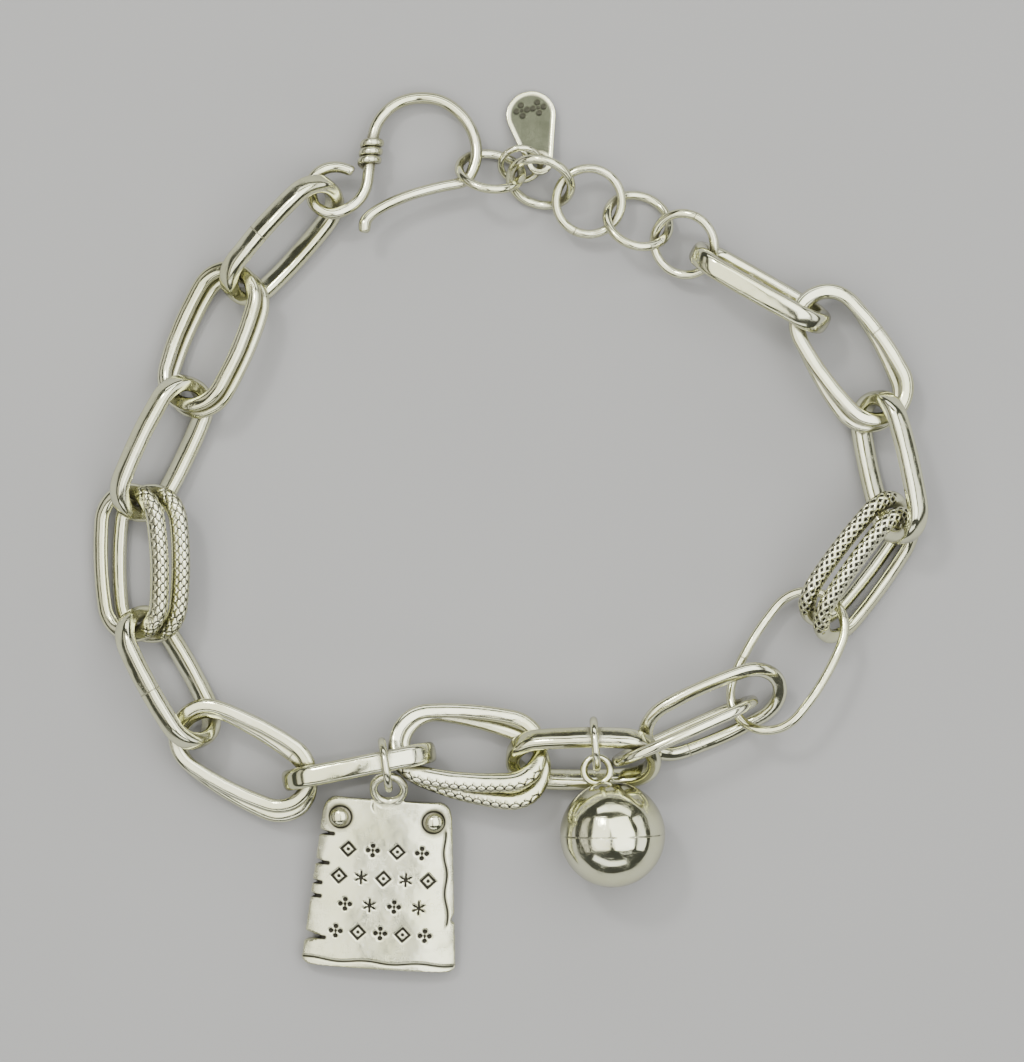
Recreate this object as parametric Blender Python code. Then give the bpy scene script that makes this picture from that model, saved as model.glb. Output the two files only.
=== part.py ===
"""Charm bracelet of silver links, lying closed on a table.

The chain runs counterclockwise, seen from above, from the hook round to the small
extension rings that the hook catches. Lengths are in metres and +Z is up. Each piece is
made flat at the origin, set out along the route, and then settles on the table.
"""

import math

import bmesh
import bpy
import numpy as np
from mathutils import Euler, Matrix, Vector

MM = 0.001

# Oval links: outer length and width, then the wire across its bend and along the link's axis
LINK_LENGTH = 14.0 * MM
LINK_WIDTH = 7.0 * MM
LINK_WIRE_ACROSS = 1.35 * MM
LINK_WIRE_DEEP = 1.9 * MM
PAIR_LENGTH = 14.2 * MM
PAIR_WIDTH = 7.8 * MM
PAIR_WIRE_ACROSS = 1.3 * MM
PAIR_WIRE_DEEP = 1.0 * MM
SCALE_SWELL = 1.32
THIN_LENGTH = 14.4 * MM
THIN_WIDTH = 8.6 * MM
THIN_WIRE = 0.85 * MM
# An end's bend radius as a share of the link's half width
END_BEND = 0.93
BEND_STEPS = 8
SIDE_STEPS = 4

# Extension rings: outer diameters, ring 1 next to the hook
RING_DIAMETERS = (6.5 * MM, 6.4 * MM, 6.7 * MM, 6.6 * MM, 6.5 * MM)
RING_WIRE = 0.82 * MM
RING_STEPS = 20

# Hook: its whole span, its wire, and the three turns wound round its stem
HOOK_SPAN = 15.0 * MM
HOOK_WIRE = 1.15 * MM
WRAP_WIRE_ACROSS = 0.5 * MM
WRAP_WIRE_DEEP = 0.74 * MM
WRAP_TURNS = 3
WRAP_GAP = 0.06 * MM
WRAP_STEPS = 12

# Tag charm: a gently curled plate with a torn left edge, two rivets and a bail
TAG_LENGTH = 15.4 * MM
TAG_TOP_WIDTH = 11.5 * MM
TAG_BOTTOM_WIDTH = 14.0 * MM
TAG_THICKNESS = 0.9 * MM
TAG_CURL = 0.9 * MM
TAG_STEPS = 10
# Slits: the share of the way down, how deep and how wide each is at the plate's edge
TORN_SLITS = (
    (0.216, 1.1 * MM, 0.35 * MM),
    (0.39, 1.1 * MM, 0.35 * MM),
    (0.51, 0.7 * MM, 0.3 * MM),
    (0.59, 0.8 * MM, 0.3 * MM),
    (0.83, 1.6 * MM, 0.6 * MM),
)
TORN_STEP = (0.70, 0.45 * MM, 3.2 * MM)
# Cutters reach this far past the plate's edge, and this far above and below its bail
CUT_MARGIN = 1.0 * MM
CUT_DEPTH = 4.0 * MM
RIVET_DIAMETER = 1.7 * MM
RIVET_HEIGHT = 0.6 * MM
RIVET_SHANK = 0.8 * MM
RIVET_CLEARANCE = 0.1 * MM
RIVET_APART = 8.3 * MM
RIVET_DOWN = 1.75 * MM
RIVET_SIDES = 12
BAIL_DIAMETER = 3.5 * MM
BAIL_WIRE = 0.75 * MM
BAIL_REACH = 1.15 * MM
BAIL_RISE = 0.7 * MM
BAIL_SLOPE = 25
JUMP_RING_DIAMETER = 5.0 * MM
JUMP_RING_WIRE = 0.72 * MM
JUMP_STEPS = 16

# Ball charm
BALL_DIAMETER = 9.4 * MM
BALL_SEGMENTS = 28
BALL_RINGS = 16
BALL_BAIL_DIAMETER = 3.0 * MM
BALL_BAIL_WIRE = 0.66 * MM
BALL_BAIL_REACH = 1.2 * MM

# Teardrop tag at the end of the chain
END_TAG_LENGTH = 7.8 * MM
END_TAG_WIDTH = 4.45 * MM
END_TAG_NECK = 2.3 * MM
END_TAG_THICKNESS = 0.5 * MM
END_TAG_HOLE = 1.35 * MM
NECK_STEPS = 8
HEAD_STEPS = 14
# Its settling spots lie on its rim and on two smaller outlines inside, at these shares inward
END_TAG_SPOT_SHARES = (0.0, 0.35, 0.7)
END_RING_DIAMETER = 4.2 * MM
END_RING_WIRE = 0.6 * MM

# The chain's route, chosen by eye: name, kind, middle in route units from the hook's wrap
# and above the table, heading, roll (positive lifts the inner side) and slope (positive
# lifts the far end). The links then settle from here until they lie clear of each other.
ROUTE_UNIT = 1.0 * MM
ROUTE = (
    ("link_01", "single", -7.3, -8.6, 3.0, -136, -30, 0),
    ("link_02", "pair", -14.2, -17.1, 3.2, -110, 22, 0),
    ("link_03", "single", -19.4, -26.1, 3.0, -119, -32, 0),
    ("link_04", "scaled_inner", -21.9, -36.8, 3.2, -90, 26, 0),
    ("link_05", "single", -18.1, -47.3, 3.0, -59, -34, 0),
    ("link_06", "pair", -11.1, -55.1, 3.4, -28, 12, 0),
    ("link_07", "single", -2.7, -55.1, 3.5, 4, 88, 0),
    ("link_08", "scaled_outer", 8.5, -54.4, 3.1, -12, -9, 0),
    ("link_09", "single", 20.0, -53.7, 3.0, 7, 36, 0),
    ("link_10_upper", "pair_ring", 28.8, -51.8, 4.0, 24, 80, -4),
    ("link_10_lower", "pair_ring", 29.9, -50.6, 3.1, 24, 46, 0),
    ("link_11", "thin", 38.1, -45.7, 3.0, 62, -26, 0),
    ("link_12", "scaled_inner", 44.3, -38.0, 3.4, 50, 58, 0),
    ("link_13", "single", 46.7, -29.4, 3.2, 97, -52, 0),
    ("link_14", "pair", 44.1, -18.3, 3.3, 122, 20, 0),
    ("link_15", "single", 36.0, -12.3, 3.4, 153, 52, 0),
    ("extension_ring_5", "ring", 28.4, -8.0, 2.0, 156, -20, -22),
    ("extension_ring_4", "ring", 24.1, -6.0, 1.5, 163, 26, 0),
    ("extension_ring_3", "ring", 19.7, -4.6, 1.4, 150, -4, 0),
    ("extension_ring_2", "ring", 15.35, -2.3, 2.0, 156, -38, 0),
    ("extension_ring_1", "ring", 10.8, -1.0, 2.6, 180, 52, 0),
    ("end_tag_ring", "end_ring", 13.75, -1.3, 1.9, 180, -45, 0),
    ("tag_jump_ring", "jump_ring", 1.7, -55.3, 5.3, 98, 90, 0),
    ("ball_jump_ring", "jump_ring", 20.0, -52.6, 4.4, 92, 90, 0),
)

# Where the hook's wrap and the charms' bails or holes start, in the same terms
HOOK_PLACE = (-0.1, 0.1, 2.0)
TAG_PLACE = (2.0, -56.8, 3.9, 87, 0, 8)
BALL_PLACE = (20.4, -55.4, 4.7, 104, 0, 0)
END_TAG_PLACE = (15.1, -0.95, 1.5, -79.7, 0, 12)
CHARM_WEIGHT = 4.0
HOOK_WEIGHT = 6.0

# Clearance that settling leaves between two pieces. The wires start thin, so that they
# lie linked as chosen, and grow; the last rounds only part the pieces. Sinking is the drop
# in each round, and homing and hold are the shares of the way back to the chosen places.
CLEARANCE = 0.18 * MM
FIRST_THICKNESS = 0.35
GROWING_ROUNDS = 220
SETTLE_ROUNDS = 400
QUIET_ROUNDS = 120
SINKING = 0.02 * MM
HOMING = 0.04
PAIR_HOLD = 0.3

SILVER = (0.80, 0.79, 0.72)
DARK_SILVER = (0.30, 0.29, 0.25)


def clear_scene():
    for obj in list(bpy.data.objects):
        bpy.data.objects.remove(obj, do_unlink=True)


def new_collection(name):
    collection = bpy.data.collections.new(name)
    bpy.context.scene.collection.children.link(collection)
    return collection


def silver(name, colour, roughness):
    material = bpy.data.materials.new(name)
    material.use_nodes = True
    shader = material.node_tree.nodes["Principled BSDF"]
    shader.inputs["Base Color"].default_value = (*colour, 1.0)
    shader.inputs["Metallic"].default_value = 1.0
    shader.inputs["Roughness"].default_value = roughness
    return material


clear_scene()
BRACELET = new_collection("charm_bracelet")
GUIDES = new_collection("guides")
POLISHED = silver("polished_silver", SILVER, 0.16)
SCALED = silver("scale_patterned_silver", DARK_SILVER, 0.4)


def add_object(name, data, material, collection=BRACELET):
    obj = bpy.data.objects.new(name, data)
    collection.objects.link(obj)
    if material:
        data.materials.append(material)
    return obj


def hide_guide(obj):
    obj.hide_render = True
    obj.display_type = "WIRE"


def wire_section(name, across, deep, fullness=3.0, sides=8):
    """The closed outline of a flattened wire, which the link curves sweep along their path."""
    curve = bpy.data.curves.new(name, "CURVE")
    curve.dimensions = "2D"
    spline = curve.splines.new("POLY")
    spline.points.add(sides - 1)
    for index in range(sides):
        angle = -2.0 * math.pi * index / sides
        x = math.copysign(abs(math.cos(angle)) ** (2.0 / fullness), math.cos(angle))
        y = math.copysign(abs(math.sin(angle)) ** (2.0 / fullness), math.sin(angle))
        spline.points[index].co = (x * across / 2.0, y * deep / 2.0, 0.0, 1.0)
    spline.use_cyclic_u = True
    obj = add_object(name, curve, None, GUIDES)
    hide_guide(obj)
    return obj


def oval_path(length, width, end_bend=END_BEND):
    """Points round an oval of two end arcs and two flatter side arcs, from its +X end."""
    half_length = length / 2.0
    half_width = width / 2.0
    end_radius = end_bend * half_width
    reach = half_length - end_radius
    side_radius = (reach**2 + half_width**2 - end_radius**2) / (2.0 * (half_width - end_radius))
    drop = side_radius - half_width
    meet = math.atan2(drop, reach)
    quarter = []
    for step in range(BEND_STEPS // 2 + 1):
        angle = meet * step / (BEND_STEPS // 2)
        quarter.append(Vector((reach + end_radius * math.cos(angle), end_radius * math.sin(angle), 0.0)))
    for step in range(1, SIDE_STEPS // 2 + 1):
        angle = meet + (math.pi / 2.0 - meet) * step / (SIDE_STEPS // 2)
        quarter.append(Vector((side_radius * math.cos(angle), side_radius * math.sin(angle) - drop, 0.0)))
    half = quarter + [Vector((-p.x, p.y, 0.0)) for p in reversed(quarter[:-1])]
    return half + [Vector((p.x, -p.y, 0.0)) for p in reversed(half[1:-1])]


def circle_path(diameter, steps):
    return [
        Vector((math.cos(turn), math.sin(turn), 0.0)) * diameter / 2.0
        for turn in (2.0 * math.pi * step / steps for step in range(steps))
    ]


def wire(name, points, section, material, closed=True, radii=None):
    """A wire along the points: section is a guide outline or the diameter of a round wire."""
    curve = bpy.data.curves.new(name, "CURVE")
    curve.dimensions = "3D"
    curve.twist_mode = "Z_UP"
    spline = curve.splines.new("POLY")
    spline.points.add(len(points) - 1)
    for index, point in enumerate(points):
        spline.points[index].co = (*point, 1.0)
        spline.points[index].radius = radii[index] if radii else 1.0
    spline.use_cyclic_u = closed
    spline.use_smooth = True
    curve.use_fill_caps = not closed
    if isinstance(section, bpy.types.Object):
        curve.bevel_mode = "OBJECT"
        curve.bevel_object = section
    else:
        curve.bevel_depth = section / 2.0
        curve.bevel_resolution = 1
    return add_object(name, curve, material)


def as_mesh(obj):
    """Replaces a curve object by a mesh object of the same name, place and material."""
    name = obj.name
    bpy.context.view_layer.update()
    evaluated = obj.evaluated_get(bpy.context.evaluated_depsgraph_get())
    mesh = bpy.data.meshes.new_from_object(evaluated)
    place = obj.matrix_world.copy()
    bpy.data.objects.remove(obj, do_unlink=True)
    shape = bmesh.new()
    shape.from_mesh(mesh)
    bmesh.ops.remove_doubles(shape, verts=shape.verts, dist=0.0001 * MM)
    bmesh.ops.recalc_face_normals(shape, faces=shape.faces)
    shape.to_mesh(mesh)
    shape.free()
    mesh_object = bpy.data.objects.new(name, mesh)
    mesh_object.name = name
    BRACELET.objects.link(mesh_object)
    mesh_object.matrix_world = place
    return mesh_object


def world_points(objects):
    """Every corner of the objects' evaluated meshes, in world space."""
    bpy.context.view_layer.update()
    depsgraph = bpy.context.evaluated_depsgraph_get()
    for obj in objects:
        evaluated = obj.evaluated_get(depsgraph)
        mesh = evaluated.to_mesh()
        for vertex in mesh.vertices:
            yield evaluated.matrix_world @ vertex.co
        evaluated.to_mesh_clear()


def stand_at_origin():
    """Hangs every piece on an empty that brings the middle of the bracelet's base to the origin."""
    pieces = [obj for obj in BRACELET.objects if obj.type != "EMPTY"]
    corners = [tuple(corner) for corner in world_points(pieces)]
    low = np.min(corners, axis=0)
    high = np.max(corners, axis=0)
    base = bpy.data.objects.new("charm_bracelet_base", None)
    BRACELET.objects.link(base)
    for obj in pieces:
        obj.parent = base
    base.location = (-(low[0] + high[0]) / 2.0, -(low[1] + high[1]) / 2.0, -low[2])


LINK_SECTION = wire_section("link_section", LINK_WIRE_ACROSS, LINK_WIRE_DEEP)
PAIR_SECTION = wire_section("pair_section", PAIR_WIRE_ACROSS, PAIR_WIRE_DEEP, fullness=2.4)
WRAP_SECTION = wire_section("wrap_section", WRAP_WIRE_ACROSS, WRAP_WIRE_DEEP, fullness=2.2, sides=6)


def turned(heading, roll, slope):
    """The rotation of a piece that is rolled, then sloped, then headed, in degrees."""
    return Euler((math.radians(roll), -math.radians(slope), math.radians(heading)), "XYZ").to_matrix()


class Lying:
    """A rigid piece that settles on the table: spots along it and its half thickness there."""

    def __init__(self, objects, spots, half, centre, rotation, weight=1.0):
        self.objects = objects
        self.spots = np.array([tuple(spot) for spot in spots])
        self.half = np.broadcast_to(np.asarray(half, dtype=float), len(self.spots))
        self.centre = np.array(tuple(centre))
        self.rotation = np.array(rotation)
        self.first_centre = self.centre.copy()
        self.first_rotation = self.rotation.copy()
        self.weight = weight
        self.mate = None
        self.reach = np.linalg.norm(self.spots, axis=1).max() + self.half.max()
        self.turning = max(np.mean(np.sum(self.spots**2, axis=1)), (0.5 * MM) ** 2)
        LYING.append(self)

    def now(self):
        """The spots as they lie now."""
        return self.spots @ self.rotation.T + self.centre

    def nudge(self, shift, twist):
        self.centre = self.centre + shift
        angle = np.linalg.norm(twist)
        if angle > 1e-9:
            turn = Matrix.Rotation(angle, 3, Vector(twist / angle))
            self.rotation = np.array(turn) @ self.rotation

    def pull_home(self, share):
        """Draws the piece back to its chosen place in plan and to its chosen turn."""
        self.centre[:2] += share * (self.first_centre[:2] - self.centre[:2])
        apart = Matrix((self.first_rotation @ self.rotation.T).tolist()).to_quaternion()
        axis, angle = apart.to_axis_angle()
        self.nudge(np.zeros(3), np.array(axis) * (angle * share))

    def stay_beside_mate(self):
        """Draws the two rings of a pair back to the way they were chosen to lie together."""
        drift = (self.mate.centre - self.mate.first_centre) - (self.centre - self.first_centre)
        self.centre = self.centre + drift * PAIR_HOLD / 2.0
        self.mate.centre = self.mate.centre - drift * PAIR_HOLD / 2.0

    def put_objects(self):
        place = Matrix.Translation(self.centre.tolist()) @ Matrix(self.rotation.tolist()).to_4x4()
        for obj in self.objects:
            obj.matrix_world = place


LYING = []


def push_apart(first, second, growth):
    """Moves two pieces so that their spots part where they are too near."""
    a = first.now()
    b = second.now()
    between = a[:, None, :] - b[None, :, :]
    distance = np.linalg.norm(between, axis=2)
    short = (first.half[:, None] + second.half[None, :] + CLEARANCE) * growth - distance
    rows, columns = np.nonzero(short > 0.0)
    if not len(rows):
        return
    depth = short[rows, columns]
    away = between[rows, columns] / np.maximum(distance[rows, columns], 1e-9)[:, None] * depth[:, None]
    strength = depth.max() / max(np.linalg.norm(away, axis=1).sum(), 1e-12)
    total = first.weight + second.weight
    for piece, points, sign, share in (
        (first, a[rows], 1.0, second.weight / total),
        (second, b[columns], -1.0, first.weight / total),
    ):
        arms = points - piece.centre
        force = sign * away.sum(axis=0) * strength
        torque = sign * np.cross(arms, away).sum(axis=0) * strength
        piece.nudge(force * share, torque * share / piece.turning * 0.5)


def keep_above_table(piece):
    points = piece.now()
    short = piece.half - points[:, 2]
    low = short > 0.0
    if not low.any():
        return
    lift = np.zeros((low.sum(), 3))
    lift[:, 2] = short[low]
    strength = short.max() / short[low].sum()
    torque = np.cross(points[low] - piece.centre, lift).sum(axis=0) * strength
    piece.nudge(lift.sum(axis=0) * strength * 0.7, torque / piece.turning * 0.3)


def settle():
    """Lets the pieces sink and part until they lie on the table and clear of each other."""
    for turn in range(SETTLE_ROUNDS + QUIET_ROUNDS):
        growth = min(FIRST_THICKNESS + (1.0 - FIRST_THICKNESS) * turn / GROWING_ROUNDS, 1.0)
        if turn < SETTLE_ROUNDS:
            for piece in LYING:
                piece.centre[2] -= SINKING
                piece.pull_home(HOMING * piece.weight)
                if piece.mate:
                    piece.stay_beside_mate()
        for index, first in enumerate(LYING):
            for second in LYING[index + 1 :]:
                if np.linalg.norm(first.centre - second.centre) < first.reach + second.reach:
                    push_apart(first, second, growth)
        for piece in LYING:
            keep_above_table(piece)
    for piece in LYING:
        piece.put_objects()


def along_wire(points, spacing, closed=True):
    """Evenly spaced spots along a wire's points, each with its share of the way."""
    ends = list(points[1:]) + ([points[0]] if closed else [])
    spots = []
    for index, (start, end) in enumerate(zip(points, ends)):
        count = max(round((end - start).length / spacing), 1)
        spots += [(start.lerp(end, step / count), index + step / count) for step in range(count)]
    return spots


SPOT_SPACING = 0.42 * MM


def lie_wire(obj, points, across, deep, centre, rotation, radii=None, closed=True, weight=1.0):
    """Sets a wire out to settle: one deeper than it is wide is two lines of spots side by side."""
    spots = along_wire(points, SPOT_SPACING, closed)
    offset = max(deep - across, 0.0) / 2.0
    thickness = min(across, (across + deep) / 2.0)
    layers = (-offset, offset) if offset else (0.0,)
    places = [spot + Vector((0.0, 0.0, layer)) for layer in layers for spot, _ in spots]
    swollen = [radii[round(at) % len(radii)] if radii else 1.0 for _, at in spots] * len(layers)
    return Lying([obj], places, np.array(swollen) * thickness / 2.0, centre, rotation, weight)


def swell(points, side):
    """Wire thickness round a link whose one long side is thicker: +1 is its inner side."""
    widest = max(abs(point.y) for point in points)
    return [
        1.0 + (SCALE_SWELL - 1.0) * min(max(side * point.y / widest, 0.0) * 1.6, 1.0) for point in points
    ]


# How the two rings of a pair lie at first: the roll of each from the pair's own roll, and
# how far the lower one slips along and across its partner, as shares of the pair's width
PAIR_LIES = {
    "link_02": (1, -1, 0.04, -0.05),
    "link_04": (2, -2, 0.03, 0.15),
    "link_06": (1, -1, 0.0, -0.22),
    "link_08": (2, -2, 0.12, -0.08),
    "link_12": (0, 0, 0.04, 0.10),
    "link_14": (1, -1, -0.13, 0.05),
}


def pair_ring(name, side, centre, rotation):
    """One ring of a double link: side is +1 or -1 where that long side has scales."""
    points = oval_path(PAIR_LENGTH - PAIR_WIRE_ACROSS, PAIR_WIDTH - PAIR_WIRE_ACROSS)
    radii = swell(points, side) if side else None
    ring = wire(name, points, PAIR_SECTION, SCALED if side else POLISHED, radii=radii)
    return lie_wire(ring, points, PAIR_WIRE_ACROSS, PAIR_WIRE_DEEP, centre, rotation, radii)


def pair_of_links(name, kind, centre, heading, roll, slope):
    """Two rings that lie together, one slipped a little over the other."""
    side = {"scaled_inner": 1, "scaled_outer": -1}.get(kind, 0)
    upper_roll, lower_roll, along, across = PAIR_LIES[name]
    turn = turned(heading, roll, slope)
    rise = Vector((0.0, 0.0, (PAIR_WIRE_DEEP + CLEARANCE) / 2.0))
    slip = Vector((along, across, 0.0)) * PAIR_WIDTH
    upper_turn = turned(heading, roll + upper_roll, slope)
    lower_turn = turned(heading, roll + lower_roll, slope)
    upper = pair_ring(f"{name}_upper", side, centre + turn @ rise, upper_turn)
    lower = pair_ring(f"{name}_lower", side, centre + turn @ (slip - rise), lower_turn)
    upper.mate = lower


def chain():
    """Makes every link and ring of the route and sets it out to settle."""
    for name, kind, x, y, z, heading, roll, slope in ROUTE:
        centre = Vector((x, y, z)) * ROUTE_UNIT
        if kind == "single":
            points = oval_path(LINK_LENGTH - LINK_WIRE_ACROSS, LINK_WIDTH - LINK_WIRE_ACROSS)
            across, deep, section = LINK_WIRE_ACROSS, LINK_WIRE_DEEP, LINK_SECTION
        elif kind == "thin":
            points = oval_path(THIN_LENGTH - THIN_WIRE, THIN_WIDTH - THIN_WIRE)
            across, deep, section = THIN_WIRE, THIN_WIRE, THIN_WIRE
        elif kind == "ring":
            points = circle_path(RING_DIAMETERS[int(name[-1]) - 1] - RING_WIRE, RING_STEPS)
            across, deep, section = RING_WIRE, RING_WIRE, RING_WIRE
        elif kind == "jump_ring":
            points = circle_path(JUMP_RING_DIAMETER - JUMP_RING_WIRE, JUMP_STEPS)
            across, deep, section = JUMP_RING_WIRE, JUMP_RING_WIRE, JUMP_RING_WIRE
        elif kind == "end_ring":
            points = circle_path(END_RING_DIAMETER - END_RING_WIRE, JUMP_STEPS)
            across, deep, section = END_RING_WIRE, END_RING_WIRE, END_RING_WIRE
        elif kind == "pair_ring":
            pair_ring(name, 0, centre, turned(heading, roll, slope))
            continue
        else:
            pair_of_links(name, kind, centre, heading, roll, slope)
            continue
        link = wire(name, points, section, POLISHED)
        lie_wire(link, points, across, deep, centre, turned(heading, roll, slope))


# The hook's wire, chosen by eye as shares of its span from the wrap, with its thickness
HOOK_ROUTE = (
    (-0.103, -0.119, 0.92),
    (-0.183, -0.089, 0.96),
    (-0.273, -0.099, 1.0),
    (-0.342, -0.153, 1.0),
    (-0.358, -0.222, 1.0),
    (-0.347, -0.288, 1.0),
    (-0.322, -0.338, 1.0),
    (-0.223, -0.382, 1.0),
    (-0.103, -0.327, 1.0),
    (-0.033, -0.238, 1.0),
    (-0.014, -0.138, 1.0),
    (0.0, 0.0, 1.0),
    (0.027, 0.162, 1.0),
    (0.105, 0.269, 1.0),
    (0.210, 0.328, 1.0),
    (0.334, 0.339, 1.0),
    (0.440, 0.313, 1.0),
    (0.535, 0.240, 1.0),
    (0.600, 0.145, 1.0),
    (0.630, 0.042, 1.0),
    (0.625, -0.060, 1.0),
    (0.583, -0.159, 0.98),
    (0.524, -0.189, 0.94),
    (0.424, -0.208, 0.92),
    (0.275, -0.248, 0.92),
    (0.155, -0.293, 0.92),
    (0.057, -0.343, 0.92),
    (-0.009, -0.393, 0.95),
    (-0.033, -0.437, 1.1),
    (-0.033, -0.490, 0.9),
)
HOOK_TILT_ACROSS = -10.5
HOOK_TILT_ALONG = 2.3


def smooth_route(rows, steps):
    """A smooth curve through the chosen points: Catmull-Rom, with a few steps between two points."""
    points = []
    for index in range(len(rows) - 1):
        a, b, c, d = (Vector(rows[min(max(index + k, 0), len(rows) - 1)]) for k in (-1, 0, 1, 2))
        for step in range(steps):
            t = step / steps
            squared = (2 * a - 5 * b + 4 * c - d) * t**2
            cubed = (3 * b - a - 3 * c + d) * t**3
            points.append(0.5 * (2 * b + (c - a) * t + squared + cubed))
    points.append(Vector(rows[-1]))
    return points


def hook():
    rows = smooth_route(HOOK_ROUTE, 2)
    points = [Vector((row.x, row.y, 0.0)) * HOOK_SPAN for row in rows]
    bent = wire("hook", points, HOOK_WIRE, POLISHED, closed=False, radii=[row.z for row in rows])
    pitch = WRAP_WIRE_DEEP + WRAP_GAP
    radius = (HOOK_WIRE + WRAP_WIRE_ACROSS) / 2.0 + WRAP_GAP
    turns = [
        Vector((
            radius * math.cos(2.0 * math.pi * step / WRAP_STEPS),
            radius * math.sin(2.0 * math.pi * step / WRAP_STEPS),
            pitch * (step / WRAP_STEPS - WRAP_TURNS / 2.0),
        ))
        for step in range(WRAP_TURNS * WRAP_STEPS + 1)
    ]
    wound = as_mesh(wire("hook_wrap", turns, WRAP_SECTION, POLISHED, closed=False))
    stem = Vector(HOOK_ROUTE[12][:2]) - Vector(HOOK_ROUTE[10][:2])
    upright = Matrix.Rotation(math.atan2(stem.y, stem.x), 4, "Z") @ Matrix.Rotation(math.pi / 2.0, 4, "Y")
    wound.data.transform(upright)
    tilt = Euler((math.radians(HOOK_TILT_ACROSS), math.radians(HOOK_TILT_ALONG), 0.0)).to_matrix()
    start = Vector(HOOK_PLACE) * ROUTE_UNIT
    lying = lie_wire(bent, points, HOOK_WIRE, HOOK_WIRE, start, tilt, closed=False, weight=HOOK_WEIGHT)
    lying.objects.append(wound)


def shape_object(name, shape, material, collection=BRACELET):
    """A mesh object from a bmesh, which is used up."""
    bmesh.ops.recalc_face_normals(shape, faces=shape.faces)
    mesh = bpy.data.meshes.new(name)
    shape.to_mesh(mesh)
    shape.free()
    return add_object(name, mesh, material, collection)


def boolean(target, other, operation):
    """Joins another solid to the target, or cuts it away, and hides it among the guides."""
    modifier = target.modifiers.new(other.name, "BOOLEAN")
    modifier.operation = operation
    modifier.solver = "EXACT"
    modifier.object = other
    if other.name in BRACELET.objects:
        BRACELET.objects.unlink(other)
        GUIDES.objects.link(other)
    hide_guide(other)


def bail_ring(name, diameter, thickness, move):
    """A closed ring of wire as a mesh, moved to its place on a charm."""
    ring = as_mesh(wire(name, circle_path(diameter - thickness, JUMP_STEPS), thickness, POLISHED))
    ring.data.transform(move)
    return ring


def ring_spots(diameter, thickness, move):
    spots = along_wire(circle_path(diameter - thickness, JUMP_STEPS), SPOT_SPACING)
    return [move @ spot for spot, _ in spots]


def prism(name, outline, bottom, top):
    """A guide solid that stands on a flat outline, for cutting."""
    shape = bmesh.new()
    low = [shape.verts.new((x, y, bottom)) for x, y in outline]
    face = shape.faces.new(low)
    grown = bmesh.ops.extrude_face_region(shape, geom=[face])
    moved = [v for v in grown["geom"] if isinstance(v, bmesh.types.BMVert)]
    bmesh.ops.translate(shape, verts=moved, vec=(0.0, 0.0, top - bottom))
    return shape_object(name, shape, None, GUIDES)


def lathe(name, profile, sides, material, collection=BRACELET):
    """A closed solid turned round Z from a profile that starts and ends on the axis."""
    shape = bmesh.new()
    verts = [shape.verts.new((radius, 0.0, height)) for radius, height in profile]
    edges = [shape.edges.new(pair) for pair in zip(verts, verts[1:])]
    bmesh.ops.spin(
        shape,
        geom=verts + edges,
        cent=(0.0, 0.0, 0.0),
        axis=(0.0, 0.0, 1.0),
        angle=2.0 * math.pi,
        steps=sides,
        use_merge=True,
    )
    bmesh.ops.remove_doubles(shape, verts=shape.verts, dist=0.001 * MM)
    return shape_object(name, shape, material, collection)


def tag_half_width(share):
    """Half the tag's width at a share of its length from the top."""
    return (TAG_TOP_WIDTH + (TAG_BOTTOM_WIDTH - TAG_TOP_WIDTH) * share) / 2.0


def tag_surface(share, side):
    """The middle of the curled plate: share is the way down, side runs from -1 (right) to 1."""
    drop = TAG_CURL * abs(side) ** 4
    return Vector((-BAIL_REACH - TAG_LENGTH * share, tag_half_width(share) * side, -drop - BAIL_RISE))


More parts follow.
